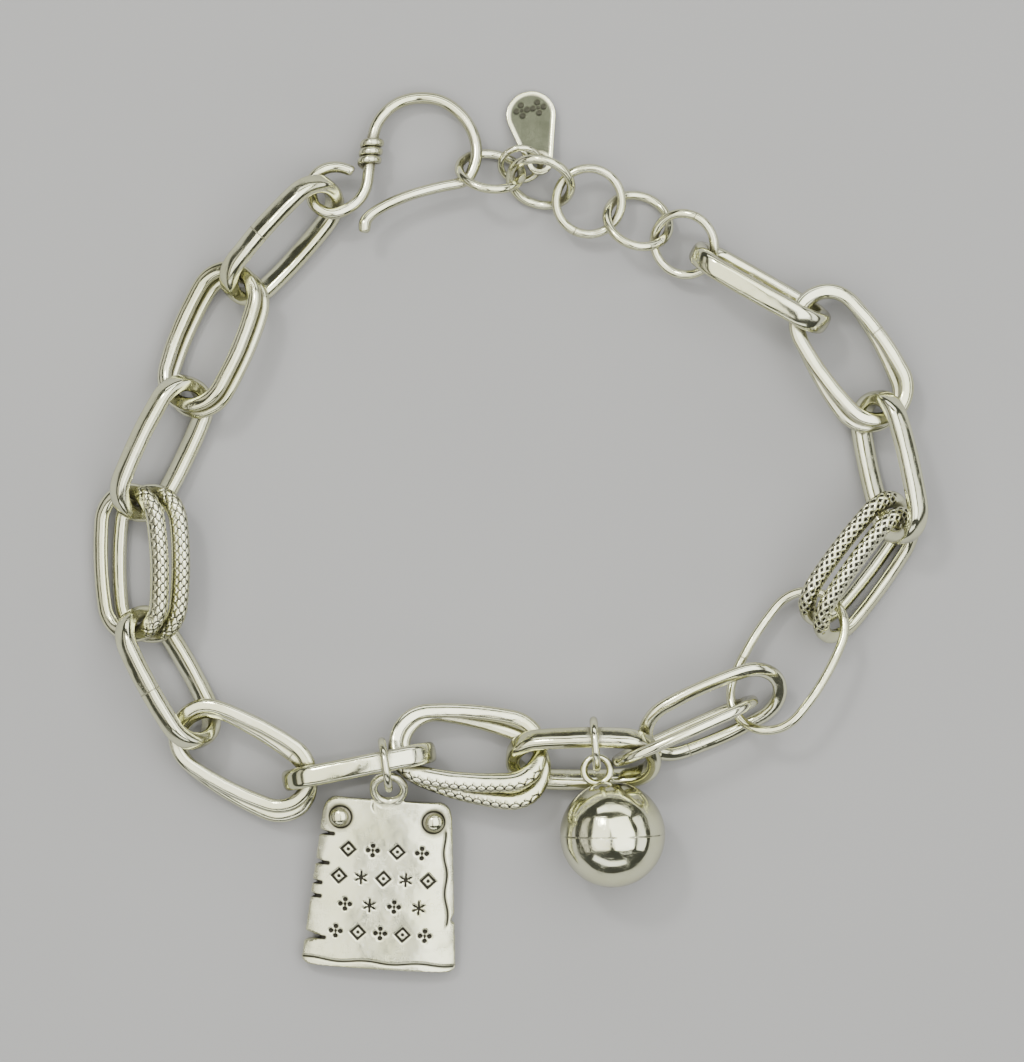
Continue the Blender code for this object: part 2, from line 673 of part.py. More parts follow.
def tag():
    """The plate hangs toward -X from the middle of its bail; its torn edge is at +Y."""
    shape = bmesh.new()
    bmesh.ops.create_grid(shape, x_segments=TAG_STEPS, y_segments=TAG_STEPS, size=0.5)
    for vertex in shape.verts:
        vertex.co = tag_surface(0.5 - vertex.co.x, 2.0 * vertex.co.y)
    bmesh.ops.recalc_face_normals(shape, faces=shape.faces)
    bmesh.ops.solidify(shape, geom=shape.faces, thickness=TAG_THICKNESS)
    bmesh.ops.translate(shape, verts=shape.verts, vec=(0.0, 0.0, TAG_THICKNESS / 2.0))
    plate = shape_object("tag_plate", shape, POLISHED)
    for index, (share, long, wide) in enumerate(TORN_SLITS):
        x, edge, _ = tag_surface(share, 1.0)
        outside = edge + CUT_MARGIN
        wedge = [(x, edge - long), (x + wide, outside), (x - wide, outside)]
        boolean(plate, prism(f"slit_{index}", wedge, -CUT_DEPTH, CUT_DEPTH), "DIFFERENCE")
    share, notch, taper = TORN_STEP
    x, edge, _ = tag_surface(share, -1.0)
    outside = edge - CUT_MARGIN
    corner = [(x, edge + notch), (x, outside), (x + taper, outside)]
    boolean(plate, prism("right_step", corner, -CUT_DEPTH, CUT_DEPTH), "DIFFERENCE")
    rivets = []
    for label, side in (("left", 1.0), ("right", -1.0)):
        share = RIVET_DOWN / TAG_LENGTH
        across = side * RIVET_APART / 2.0 / tag_half_width(share)
        spot = tag_surface(share, across)
        lean = math.atan2(4.0 * TAG_CURL * abs(across) ** 3, tag_half_width(share)) * -side
        move = Matrix.Translation(spot) @ Matrix.Rotation(lean, 4, "X")
        hole_radius = RIVET_SHANK / 2.0 + RIVET_CLEARANCE
        drill_profile = [
            (0.0, -TAG_THICKNESS),
            (hole_radius, -TAG_THICKNESS),
            (hole_radius, TAG_THICKNESS),
            (0.0, TAG_THICKNESS),
        ]
        drill = lathe(f"rivet_hole_{label}", drill_profile, RIVET_SIDES, None, GUIDES)
        drill.data.transform(move)
        boolean(plate, drill, "DIFFERENCE")
        under = TAG_THICKNESS / 2.0 + RIVET_CLEARANCE
        head = RIVET_DIAMETER / 2.0
        profile = [
            (0.0, -TAG_THICKNESS / 2.0),
            (RIVET_SHANK / 2.0, -TAG_THICKNESS / 2.0),
            (RIVET_SHANK / 2.0, under),
            (head, under),
            (head * 0.92, under + RIVET_HEIGHT * 0.45),
            (head * 0.62, under + RIVET_HEIGHT * 0.82),
            (0.0, under + RIVET_HEIGHT),
        ]
        rivet = lathe(f"tag_rivet_{label}", profile, RIVET_SIDES, POLISHED)
        rivet.data.transform(move)
        rivets.append(rivet)
    bail_at = Matrix.Rotation(math.radians(-BAIL_SLOPE), 4, "Y")
    boolean(plate, bail_ring("tag_bail", BAIL_DIAMETER, BAIL_WIRE, bail_at), "UNION")
    plate = as_mesh(plate)
    places = [step / TAG_STEPS for step in range(TAG_STEPS + 1)]
    spots = [tag_surface(share, 2.0 * across - 1.0) for share in places for across in places]
    half = [TAG_THICKNESS / 2.0] * len(spots)
    loop = ring_spots(BAIL_DIAMETER, BAIL_WIRE, bail_at)
    lie_charm([plate, *rivets], spots + loop, half + [BAIL_WIRE / 2.0] * len(loop), TAG_PLACE)


def lie_charm(objects, spots, half, place):
    x, y, z, heading, roll, slope = place
    Lying(objects, spots, half, Vector((x, y, z)) * ROUTE_UNIT, turned(heading, roll, slope), CHARM_WEIGHT)


def ball():
    """A ball, solid here, that hangs toward -X from the middle of its soldered bail."""
    shape = bmesh.new()
    centre = Vector((-BALL_DIAMETER / 2.0 - BALL_BAIL_REACH, 0.0, 0.0))
    bmesh.ops.create_uvsphere(
        shape,
        u_segments=BALL_SEGMENTS,
        v_segments=BALL_RINGS,
        radius=BALL_DIAMETER / 2.0,
        matrix=Matrix.Translation(centre),
    )
    round_ball = shape_object("ball", shape, POLISHED)
    boolean(round_ball, bail_ring("ball_bail", BALL_BAIL_DIAMETER, BALL_BAIL_WIRE, Matrix()), "UNION")
    round_ball = as_mesh(round_ball)
    loop = ring_spots(BALL_BAIL_DIAMETER, BALL_BAIL_WIRE, Matrix())
    half = [BALL_DIAMETER / 2.0] + [BALL_BAIL_WIRE / 2.0] * len(loop)
    lie_charm([round_ball], [centre] + loop, half, BALL_PLACE)


def end_tag():
    """A flat teardrop that hangs toward -X from the middle of the hole in its neck."""
    big = END_TAG_WIDTH / 2.0
    small = END_TAG_NECK / 2.0
    big_at = big + small - END_TAG_LENGTH
    lean = math.acos((big - small) / -big_at)
    outline = []
    for step in range(NECK_STEPS + 1):
        angle = lean - 2.0 * lean * step / NECK_STEPS
        outline.append((small * math.cos(angle), small * math.sin(angle)))
    for step in range(HEAD_STEPS + 1):
        angle = -lean - 2.0 * (math.pi - lean) * step / HEAD_STEPS
        outline.append((big_at + big * math.cos(angle), big * math.sin(angle)))
    inset = END_TAG_THICKNESS / 2.0
    plate = prism("end_tag", outline, -inset, inset)
    hole_outline = [(p.x, p.y) for p in circle_path(END_TAG_HOLE, JUMP_STEPS)]
    hole = prism("end_tag_hole", hole_outline, -END_TAG_THICKNESS, END_TAG_THICKNESS)
    GUIDES.objects.unlink(plate)
    BRACELET.objects.link(plate)
    plate.data.materials.append(POLISHED)
    boolean(plate, hole, "DIFFERENCE")
    plate = as_mesh(plate)
    middle = Vector((big_at, 0.0, 0.0))
    rim = [Vector((x, y, 0.0)) for x, y in outline]
    spots = []
    for share in END_TAG_SPOT_SHARES:
        for spot in rim:
            inward = (middle - spot).normalized() * inset * (1.0 - share)
            spots.append(spot.lerp(middle, share) + inward)
    spots = [spot for spot in spots if spot.length > END_TAG_HOLE / 2.0 + inset]
    spots += circle_path(END_TAG_HOLE + END_TAG_THICKNESS, JUMP_STEPS)
    lie_charm([plate], spots, [inset] * len(spots), END_TAG_PLACE)


def main():
    chain()
    hook()
    tag()
    ball()
    end_tag()
    settle()
    stand_at_origin()


main()
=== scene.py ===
"""Looks of a silver charm bracelet lying closed on a pale table, seen from straight above."""

import math

import bmesh
import bpy
import numpy as np
from mathutils import Euler, Matrix, Vector, noise
from mathutils.bvhtree import BVHTree


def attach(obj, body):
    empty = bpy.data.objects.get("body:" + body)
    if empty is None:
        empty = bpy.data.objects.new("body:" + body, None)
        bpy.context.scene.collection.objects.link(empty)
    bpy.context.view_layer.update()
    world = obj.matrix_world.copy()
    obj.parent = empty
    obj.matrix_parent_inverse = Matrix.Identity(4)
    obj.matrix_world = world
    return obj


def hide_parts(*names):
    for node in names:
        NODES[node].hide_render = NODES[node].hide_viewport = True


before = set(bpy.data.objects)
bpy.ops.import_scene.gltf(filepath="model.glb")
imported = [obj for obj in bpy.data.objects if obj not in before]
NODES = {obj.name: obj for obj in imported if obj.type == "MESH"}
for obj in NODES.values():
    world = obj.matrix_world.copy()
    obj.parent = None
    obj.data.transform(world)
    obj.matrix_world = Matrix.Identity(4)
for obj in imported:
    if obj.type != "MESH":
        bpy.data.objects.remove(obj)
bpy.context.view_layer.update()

MM = 0.001
UPWARD = (0.0, 0.0, 1.0)

# Wires of the links, as in the solids: across the bend and along the link's axis
LINK_WIRE = (1.35 * MM, 1.9 * MM)
PAIR_WIRE = (1.3 * MM, 1.0 * MM)
THIN_WIRE = (0.85 * MM, 0.85 * MM)
SCALE_SWELL = 1.32
RING_WIRE = 0.82 * MM
JUMP_RING_WIRE = 0.72 * MM
END_RING_WIRE = 0.6 * MM
HOOK_WIRE = 1.15 * MM
WRAP_WIRE = 0.62 * MM

# The charms in millimetres, each in its own frame: the middle of its bail or hole is the
# origin and it hangs toward -X. Then where that frame lies, in millimetres and degrees.
TAG_LENGTH = 15.4
TAG_TOP_WIDTH = 11.5
TAG_BOTTOM_WIDTH = 14.0
TAG_THICKNESS = 0.9
TAG_CURL = 0.9
TAG_VOXEL = 0.1
# Each slit's place as a share of the way down, its length and half its width at the edge
TAG_SLITS = (
    (0.216, 1.4, 0.42),
    (0.39, 1.3, 0.42),
    (0.51, 0.9, 0.38),
    (0.59, 1.0, 0.38),
    (0.83, 1.9, 0.65),
)
# The radius of the tag's corners at its top edge (0) and at its foot (1)
TAG_CORNERS = {0.0: 1.3, 1.0: 0.9}
# The step in the other edge: its share of the way down, its depth and its taper
TAG_STEP = (0.70, 0.45, 3.2)
# A bail's outer diameter and its wire; how far its middle lies past the edge, and above it
BAIL = (3.5, 0.75)
BAIL_REACH = 1.15
BAIL_RISE = 0.7
BAIL_SLOPE = 25
RIVET_APART = 8.3
RIVET_DOWN = 1.75
# The head's diameter and height, and half the shank's thickness
RIVET_HEAD = (1.7, 0.6)
RIVET_SHANK = 0.4
BALL = 9.4
BALL_BAIL = (3.0, 0.66)
BALL_BAIL_REACH = 1.2
SOLDER_DROP = 0.62
# Length, width, width of the neck and thickness
END_TAG = (7.8, 4.45, 2.3, 0.5)
END_TAG_HOLE = 1.35
END_TAG_VOXEL = 0.06
END_RIM = 0.30
END_FIELD_DEPTH = 0.07
END_STAMP_DEPTH = 0.06
END_STAMP_DOWN = 5.0
END_STAMP_APART = 0.75
END_STAMP_SIZE = 1.15
TAG_LIES = ((-10.6674, -22.9331, 4.2956), (0.289, -7.282, 86.380))
BALL_LIES = ((7.8846, -21.2581, 4.3967), (-0.106, 4.861, 103.473))
END_TAG_LIES = ((2.8057, 33.1061, 1.5244), (0.053, -10.811, -79.652))

# Camera over the middle of the bracelet
VIEW_SIZE = 95.6 * MM
VIEW_CENTRE = (0.312 * MM, 0.042 * MM)
CAMERA_HEIGHT = 0.42


class Value:
    """A shader socket that takes part in Python arithmetic: each operation adds a node."""

    def __init__(self, paint, socket):
        self.paint = paint
        self.socket = socket

    def math(self, operation, *others, clamp=False):
        inputs = {index: other for index, other in enumerate((self, *others))}
        return self.paint.node("Math", {"operation": operation, "use_clamp": clamp}, inputs)

    def __add__(self, other):
        return self.math("ADD", other)

    def __mul__(self, other):
        return self.math("MULTIPLY", other)

    def __sub__(self, other):
        return self.math("SUBTRACT", other)

    def __rsub__(self, other):
        return (self * -1.0) + other

    __radd__ = __add__
    __rmul__ = __mul__

    def abs(self):
        return self.math("ABSOLUTE")

    def fraction(self):
        return self.math("FRACT")

    def most(self, other, clamp=False):
        return self.math("MAXIMUM", other, clamp=clamp)

    def step(self, low, high):
        """0 below low, 1 above high, smooth between; low may be the larger one."""
        settings = {"interpolation_type": "SMOOTHSTEP"}
        if low < high:
            return self.paint.node("MapRange", settings, {"Value": self, "From Min": low, "From Max": high})
        ends = {"Value": self, "From Min": high, "From Max": low, "To Min": 1.0, "To Max": 0.0}
        return self.paint.node("MapRange", settings, ends)


class Paint:
    """One material and the nodes that colour it."""

    def __init__(self, name):
        self.material = bpy.data.materials.new(name)
        self.material.use_nodes = True
        self.tree = self.material.node_tree
        self.shader = self.tree.nodes["Principled BSDF"]
        self.shader.inputs["Metallic"].default_value = 1.0

    def node(self, kind, settings, inputs, output=0):
        made = self.tree.nodes.new("ShaderNode" + kind)
        for key, value in settings.items():
            setattr(made, key, value)
        for key, value in inputs.items():
            if isinstance(value, Value):
                self.tree.links.new(value.socket, made.inputs[key])
            else:
                made.inputs[key].default_value = value
        return Value(self, made.outputs[output])

    def place(self, turn=None, centre=(0.0, 0.0, 0.0)):
        """Object coordinates, or those of a frame with its own centre and turn."""
        spot = self.node("TexCoord", {}, {}, "Object")
        if turn is None:
            return spot
        moved = self.node("VectorMath", {"operation": "SUBTRACT"}, {0: spot, 1: centre})
        inverse = turn.to_euler()
        return self.node("Mapping", {"vector_type": "TEXTURE"}, {"Vector": moved, "Rotation": inverse})

    def parts(self, vector):
        node = self.tree.nodes.new("ShaderNodeSeparateXYZ")
        self.tree.links.new(vector.socket, node.inputs[0])
        return [Value(self, node.outputs[index]) for index in range(3)]

    def noise(self, where, per_mm, detail=3.0, roughness=0.55, stretch=None):
        if stretch:
            where = self.node("Mapping", {}, {"Vector": where, "Scale": stretch})
        inputs = {"Vector": where, "Scale": per_mm / MM, "Detail": detail, "Roughness": roughness}
        return self.node("TexNoise", {}, inputs)

    def mix(self, factor, first, second):
        node = self.tree.nodes.new("ShaderNodeMix")
        node.data_type = "RGBA"
        sockets = {"Factor_Float": factor, "A_Color": first, "B_Color": second}
        for socket in node.inputs:
            value = sockets.get(socket.identifier)
            if isinstance(value, Value):
                self.tree.links.new(value.socket, socket)
            elif value is not None:
                socket.default_value = (*value, 1.0) if isinstance(value, tuple) else value
        return Value(self, next(s for s in node.outputs if s.identifier == "Result_Color"))

    def bump(self, height, distance, strength=1.0, under=None):
        inputs = {"Height": height, "Distance": distance, "Strength": strength}
        if under is not None:
            inputs["Normal"] = under
        return self.node("Bump", {}, inputs)

    def finish(self, colour=None, roughness=None, normal=None):
        for name, value in (("Base Color", colour), ("Roughness", roughness), ("Normal", normal)):
            if isinstance(value, Value):
                self.tree.links.new(value.socket, self.shader.inputs[name])
        return self.material


BRIGHT = (0.95, 0.96, 0.70)
WORN = (0.81, 0.82, 0.53)
# Tarnish, also the colour of the painted shade where pieces touch and on the wires' sides
TARNISH_AND_PAINTED_SHADE = (0.22, 0.205, 0.14)
# Deep tarnish of stamps, recesses and seams, also the colour of the painted shadow along the tag's slits and
# round its rivets
DEEP_TARNISH_AND_PAINTED_SHADOW = (0.035, 0.033, 0.026)
DULL_DARK = (0.05, 0.055, 0.035)
DULL_LIGHT = (0.14, 0.15, 0.10)

# How many of each pattern's waves fit in a millimetre
CLOUDS = 0.16
BLOTCHES = 0.6
DENTS = 0.42
SCRATCH_PATCHES = 0.7
HAMMER_MARKS = 0.55
BALL_DENTS = 0.22
BRUSH_MARKS = 0.8

# How deep each bump seems
DENT_DEPTH = 0.16 * MM
SCRATCH_DEPTH = 0.004 * MM
JOINT_DEPTH = 0.03 * MM
HAMMER_DEPTH = 0.15 * MM
BALL_DENT_DEPTH = 0.4 * MM
SEAM_DEPTH = 0.04 * MM
BRUSH_DEPTH = 0.03 * MM

# How far from its middle line a soldered joint is dark, in its UV map's millimetres
JOINT_EDGE = (0.08, 0.02)
SEAM_EDGE = (0.10 * MM, 0.03 * MM)


def hairlines(paint, where, stretch, per_mm, lines):
    """Thin broken scratches: the level lines of a stretched noise, kept in some places."""
    level = paint.noise(where, per_mm, 0.0, stretch=stretch)
    near = ((level * lines).fraction() - 0.5).abs().step(0.14, 0.03)
    kept = paint.noise(where, SCRATCH_PATCHES, 1.0).step(0.5, 0.62)
    return near * kept


def worn_silver(paint, where, shine=0.1):
    """Colour, roughness and normal of polished silver: scratches, soft dents, tarnish with painted shade
    where other pieces lie close, and painted shade on the sides and undersides.
    """
    cloud = paint.noise(where, CLOUDS, 4.0)
    blotch = paint.noise(where, BLOTCHES, 5.0, 0.65)
    # Tarnish with painted shade: darker where other pieces lie close
    near_tarnish_and_shade = paint.node("Attribute", {"attribute_name": "near_tarnish_and_shade"}, {}, "Fac")
    tarnish_and_shade_share = (near_tarnish_and_shade * 1.25 - blotch * 0.5).most(0.0, clamp=True)
    colour = paint.mix(cloud.step(0.35, 0.7), BRIGHT, WORN)
    colour = paint.mix(blotch.step(0.66, 0.8) * 0.3, colour, TARNISH_AND_PAINTED_SHADE)
    colour = paint.mix(tarnish_and_shade_share * 0.85, colour, TARNISH_AND_PAINTED_SHADE)
    # Painted shade on the sides and undersides, standing in for dark reflections
    painted_side_shade = paint.node("Attribute", {"attribute_name": "painted_side_shade"}, {}, "Fac")
    colour = paint.mix(painted_side_shade * (0.9 - cloud * 0.4), colour, TARNISH_AND_PAINTED_SHADE)
    hairs = hairlines(paint, where, (1.0, 5.0, 2.0), 0.35, 9.0)
    hairs = hairs.most(hairlines(paint, where, (4.0, 1.0, 2.0), 0.4, 8.0))
    rough = blotch.step(0.3, 0.75) * 0.08 + hairs * 0.12 + tarnish_and_shade_share * 0.3 + shine
    dents = paint.noise(where, DENTS, 1.0)
    normal = paint.bump(dents, DENT_DEPTH, 0.5)
    normal = paint.bump(hairs * -1.0, SCRATCH_DEPTH, 0.5, normal)
    return colour, rough, normal


def polished():
    paint = Paint("polished_silver")
    return paint.finish(*worn_silver(paint, paint.place()))


def jointed():
    """Polished silver with the fine line of a soldered joint where the UV map starts."""
    paint = Paint("jointed_silver")
    colour, rough, normal = worn_silver(paint, paint.place())
    along = paint.parts(paint.node("UVMap", {"uv_map": "wire"}, {}))[0]
    line = along.abs().step(*JOINT_EDGE)
    colour = paint.mix(line * 0.6, colour, TARNISH_AND_PAINTED_SHADE)
    normal = paint.bump(line * -1.0, JOINT_DEPTH, 0.8, normal)
    return paint.finish(colour, rough + line * 0.25, normal)


def stamped():
    """The tag's silver: softly hammered, its stamped lines and hollows dark, with painted shadow along its
    torn slits and round its rivets.
    """
    paint = Paint("stamped_silver")
    where = paint.place()
    colour, rough, normal = worn_silver(paint, where, 0.2)
    # deep: tarnish in the stamps and grooves, with painted shadow along the slits and round the rivets
    deep = paint.node("Attribute", {"attribute_name": "deep"}, {}, "Fac")
    colour = paint.mix(deep.step(0.25, 0.75), colour, DEEP_TARNISH_AND_PAINTED_SHADOW)
    hammered = paint.noise(where, HAMMER_MARKS, 2.0)
    normal = paint.bump(hammered, HAMMER_DEPTH, 0.3, normal)
    return paint.finish(colour, rough + deep * 0.3, normal)


# The way that the ball's seam faces, in degrees
SEAM_HEADING = 91.0


def seamed():
    """The ball's mirror polish, with the fine dark seam between its two halves."""
    paint = Paint("seamed_silver")
    place, turn = lying(BALL_LIES)
    centre = place + turn @ Vector(((-BALL / 2.0 - BALL_BAIL_REACH) * MM, 0.0, 0.0))
    where = paint.place()
    colour, rough, normal = worn_silver(paint, where, 0.08)
    normal = paint.bump(paint.noise(where, BALL_DENTS, 1.0), BALL_DENT_DEPTH, 0.5, normal)
    heading = Matrix.Rotation(math.radians(SEAM_HEADING), 3, "Z")
    along = paint.parts(paint.place(heading, centre))[0]
    seam = along.abs().step(*SEAM_EDGE)
    seam = seam * paint.noise(where, 0.5, 2.0).step(0.35, 0.6)
    colour = paint.mix(seam * 0.9, colour, DEEP_TARNISH_AND_PAINTED_SHADOW)
    normal = paint.bump(seam * -1.0, SEAM_DEPTH, 0.8, normal)
    return paint.finish(colour, rough + seam * 0.3, normal)


def satin():
    """The end tag's dull grey-green field and its brighter rim."""
    paint = Paint("satin_silver")
    where = paint.place()
    colour, rough, normal = worn_silver(paint, where, 0.14)
    field = paint.node("Attribute", {"attribute_name": "deep"}, {}, "Fac")
    cloud = paint.noise(where, 0.7, 4.0, 0.6)
    dull = paint.mix(cloud, DULL_DARK, DULL_LIGHT)
    colour = paint.mix(field, colour, dull)
    stamp = paint.node("Attribute", {"attribute_name": "stamp"}, {}, "Fac")
    colour = paint.mix(stamp * 0.8, colour, DEEP_TARNISH_AND_PAINTED_SHADOW)
    brushed = paint.noise(where, BRUSH_MARKS, 3.0, stretch=(6.0, 1.0, 1.0))
    normal = paint.bump(brushed * field, BRUSH_DEPTH, 0.5, normal)
    return paint.finish(colour, rough + field * 0.22, normal)


def scaled():
    """Silver with a scale pattern: its recesses are darkened, its ribs polished by wear."""
    paint = Paint("scale_patterned_silver")
    colour, rough, normal = worn_silver(paint, paint.place())
    relief = paint.node("Attribute", {"attribute_name": "relief"}, {}, "Fac")
    deep = relief.step(0.62, 0.18)
    colour = paint.mix(deep, colour, DEEP_TARNISH_AND_PAINTED_SHADOW)
    return paint.finish(colour, rough + deep * 0.35, normal)


def own_axes(points):
    """Centre of a ring's points and the turn whose columns are its long, short and flat ways."""
    centre = points.mean(axis=0)
    _, vectors = np.linalg.eigh(np.cov((points - centre).T))
    long_way, short_way = vectors[:, 2], vectors[:, 1]
    if long_way[np.argmax(abs(long_way))] < 0:
        long_way = -long_way
    flat_way = np.cross(long_way, short_way)
    if flat_way[2] < 0:
        short_way, flat_way = -short_way, -flat_way
    return centre, np.stack([long_way, short_way, flat_way], axis=1)


def node_points(name):
    mesh = NODES[name].data
    points = np.zeros(len(mesh.vertices) * 3)
    mesh.vertices.foreach_get("co", points)
    return points.reshape(-1, 3)


# How round an oval's ends are: their radius as a share of half its width
END_BEND = 0.93


class Oval:
    """The centre line of an oval of two end arcs and two flatter side arcs."""

    def __init__(self, length, width):
        half_length, half_width = length / 2.0, width / 2.0
        self.end_radius = END_BEND * half_width
        self.reach = half_length - self.end_radius
        rest = self.reach**2 + half_width**2 - self.end_radius**2
        self.side_radius = rest / (2.0 * (half_width - self.end_radius))
        self.drop = self.side_radius - half_width
        self.meet = math.atan2(self.drop, self.reach)
        self.end_arc = self.end_radius * self.meet
        self.side_arc = self.side_radius * (math.pi / 2.0 - self.meet)
        self.round = 4.0 * (self.end_arc + self.side_arc)

    def arcs(self):
        """Centre and angle turned of each arc in order, from the +X tip."""
        side = math.pi - 2.0 * self.meet
        return (
            ((self.reach, 0.0, 0.0), self.meet),
            ((0.0, -self.drop, 0.0), side),
            ((-self.reach, 0.0, 0.0), 2.0 * self.meet),
            ((0.0, self.drop, 0.0), side),
            ((self.reach, 0.0, 0.0), self.meet),
        )

    def follow(self, x, y):
        """Nearest centre-line point, way along from the +X tip, and the outward direction."""
        side = math.copysign(1.0, y)
        tip = math.copysign(1.0, x)
        angle = math.atan2(abs(y) + self.drop, abs(x))
        if angle < self.meet:
            centre, radius = Vector((tip * self.reach, 0.0)), self.end_radius
            out = (Vector((x, y)) - centre).normalized()
            quarter = self.end_radius * min(math.atan2(abs(out.y), abs(out.x)), self.meet)
        else:
            centre, radius = Vector((0.0, -side * self.drop)), self.side_radius
            out = (Vector((x, y)) - centre).normalized()
            quarter = self.end_arc + self.side_radius * (angle - self.meet)
        way = quarter if tip > 0 else self.round / 2.0 - quarter
        if side < 0:
            way = self.round - way
        return centre + out * radius, way, out


# How finely a wire is made: round its section and along the whole oval
SECTION_SIDES = 32
STEPS_PER_TURN = 120
SCALED_SIDES = 72
SCALED_FINENESS = 4.0

# How square each wire's section is, from 2 for an ellipse upward
LINK_FULLNESS = 3.0
PAIR_FULLNESS = 2.4
ROUND_FULLNESS = 2.0

# How wavy the hand-made surfaces are
LINK_WAVES = 0.03 * MM
RING_WAVES = 0.02 * MM
RIVET_WAVES = 0.04 * MM


def oval_wire(oval, across, deep, fullness, sides=SECTION_SIDES, fine=1.0):
    """A flattened wire bent round an oval, by spinning its section about each arc's centre."""
    shape = bmesh.new()
    made = bmesh.ops.create_circle(shape, cap_ends=False, segments=sides, radius=1.0)
    tip = oval.reach + oval.end_radius
    for vert in made["verts"]:
        x, y = vert.co.x, vert.co.y
        wide = math.copysign(abs(x) ** (2.0 / fullness), x) * across / 2.0
        tall = math.copysign(abs(y) ** (2.0 / fullness), y) * deep / 2.0
        vert.co = (tip + wide, 0.0, tall)
    ring = list(made["verts"]) + list(shape.edges)
    for centre, angle in oval.arcs():
        length = angle * (oval.side_radius if centre[0] == 0.0 else oval.end_radius)
        steps = max(round(length / oval.round * STEPS_PER_TURN * fine), 3)
        spun = bmesh.ops.spin(shape, geom=ring, cent=centre, axis=UPWARD, angle=angle, steps=steps)
        ring = spun["geom_last"]
    bmesh.ops.remove_doubles(shape, verts=shape.verts, dist=0.002 * MM)
    bmesh.ops.recalc_face_normals(shape, faces=shape.faces)
    return shape


def lay_uv(shape, way_of, whole, joint_at):
    """A UV map in millimetres: the way along the wire from its joint, and round its section."""
    layer = shape.loops.layers.uv.new("wire")
    joint = joint_at * whole
    for face in shape.faces:
        base = way_of(face.calc_center_median())
        start = whole * round((base - joint) / whole)
        for loop in face.loops:
            way = way_of(loop.vert.co)
            way -= whole * round((way - base) / whole)
            loop[layer].uv = ((way - joint - start) / MM, loop.vert.co.z / MM)


def uneven(mesh, amount, per_mm=0.45):
    """Gentle unevenness of hand-made silver, along the surface's own normals."""
    normals = [vert.normal.copy() for vert in mesh.vertices]
    for vert, normal in zip(mesh.vertices, normals):
        vert.co += normal * (noise.noise(vert.co * (per_mm / MM)) * amount)


# From touching others to out of their reach, and from facing half up to facing the table's level
# Reach of the tarnish with painted shade near other pieces
TARNISH_AND_SHADE_TOUCH = 0.1 * MM
TARNISH_AND_SHADE_REACH = 0.9 * MM
# Over this the painted shade on the sides grows from none to full
SIDE_SHADE_RISE = (-0.62, -0.08)


def near_others(mesh, names):
    """Stores how near each corner lies to the other pieces, for tarnish that isn't rubbed away there and for
    painted shade where the pieces touch.
    """
    corners = []
    faces = []
    for name, node in NODES.items():
        if name in names:
            continue
        first = len(corners)
        corners += [vert.co.copy() for vert in node.data.vertices]
        faces += [[first + index for index in face.vertices] for face in node.data.polygons]
    tree = BVHTree.FromPolygons(corners, faces)
    near_tarnish_and_shade = mesh.attributes.new("near_tarnish_and_shade", "FLOAT", "POINT")
    for vert, spot in zip(mesh.vertices, near_tarnish_and_shade.data):
        distance = tree.find_nearest(vert.co, TARNISH_AND_SHADE_REACH)[3]
        spot.value = 0.0 if distance is None else 1.0 - smooth_share(distance, TARNISH_AND_SHADE_TOUCH, TARNISH_AND_SHADE_REACH)


def turned_away(mesh):
    """Stores how far each corner faces sideways or down, for painted shade on the wire's sides and underside,
    where dark reflections would fall.
    """
    painted_side_shade = mesh.attributes.new("painted_side_shade", "FLOAT", "POINT")
    for vert, spot in zip(mesh.vertices, painted_side_shade.data):
        spot.value = smooth_share(-vert.normal.z, *SIDE_SHADE_RISE)


def to_object(name, shape, material, matrix=None):
    mesh = bpy.data.meshes.new(name)
    shape.to_mesh(mesh)
    shape.free()
    if matrix is not None:
        mesh.transform(matrix)
    mesh.polygons.foreach_set("use_smooth", [True] * len(mesh.polygons))
    obj = bpy.data.objects.new(name, mesh)
    bpy.context.scene.collection.objects.link(obj)
    mesh.materials.append(material)
    return obj


def stand_for(obj, *nodes, slot="polished_silver", wavy=0.0):
    """Lets a new piece take the place of CAD nodes; wavy is how uneven its surface is."""
    if wavy:
        uneven(obj.data, wavy)
    # Stores the share of tarnish with painted shade near other pieces
    near_others(obj.data, nodes)
    # Stores the share of painted shade on the sides and undersides
    turned_away(obj.data)
    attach(obj, "root")
    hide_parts(*nodes)


def in_place(centre, turn):
    """The matrix that puts a ring's own frame back where it lies."""
    return Matrix([[*row, at] for row, at in zip(turn.tolist(), centre)] + [[0.0, 0.0, 0.0, 1.0]])


def link(name, wire, fullness, material, joint_at):
    """Stands a smooth link in the place of a node, read from the node's own corners."""
    points = node_points(name)
    centre, turn = own_axes(points)
    local = (points - centre) @ turn
    length, width = np.ptp(local[:, 0]), np.ptp(local[:, 1])
    oval = Oval(length - wire[0], width - wire[0])
    shape = oval_wire(oval, *wire, fullness)
    lay_uv(shape, lambda spot: oval.follow(spot.x, spot.y)[1], oval.round, joint_at)
    stand_for(to_object(name + "_smooth", shape, material, in_place(centre, turn)), name, wavy=LINK_WAVES)


def torus(diameter, thickness, sides=24, steps=96):
    """A closed ring of round wire in the XY plane; the diameter is its outer one."""
    shape = bmesh.new()
    bmesh.ops.create_circle(shape, cap_ends=False, segments=sides, radius=thickness / 2.0)
    upright = Matrix.Rotation(math.pi / 2.0, 4, "X")
    outward = Matrix.Translation(((diameter - thickness) / 2.0, 0.0, 0.0))
    bmesh.ops.transform(shape, matrix=outward @ upright, verts=shape.verts)
    bmesh.ops.spin(
        shape,
        geom=list(shape.verts) + list(shape.edges),
        cent=(0.0, 0.0, 0.0),
        axis=UPWARD,
        angle=2.0 * math.pi,
        steps=steps,
        use_merge=True,
    )
    bmesh.ops.recalc_face_normals(shape, faces=shape.faces)
    return shape


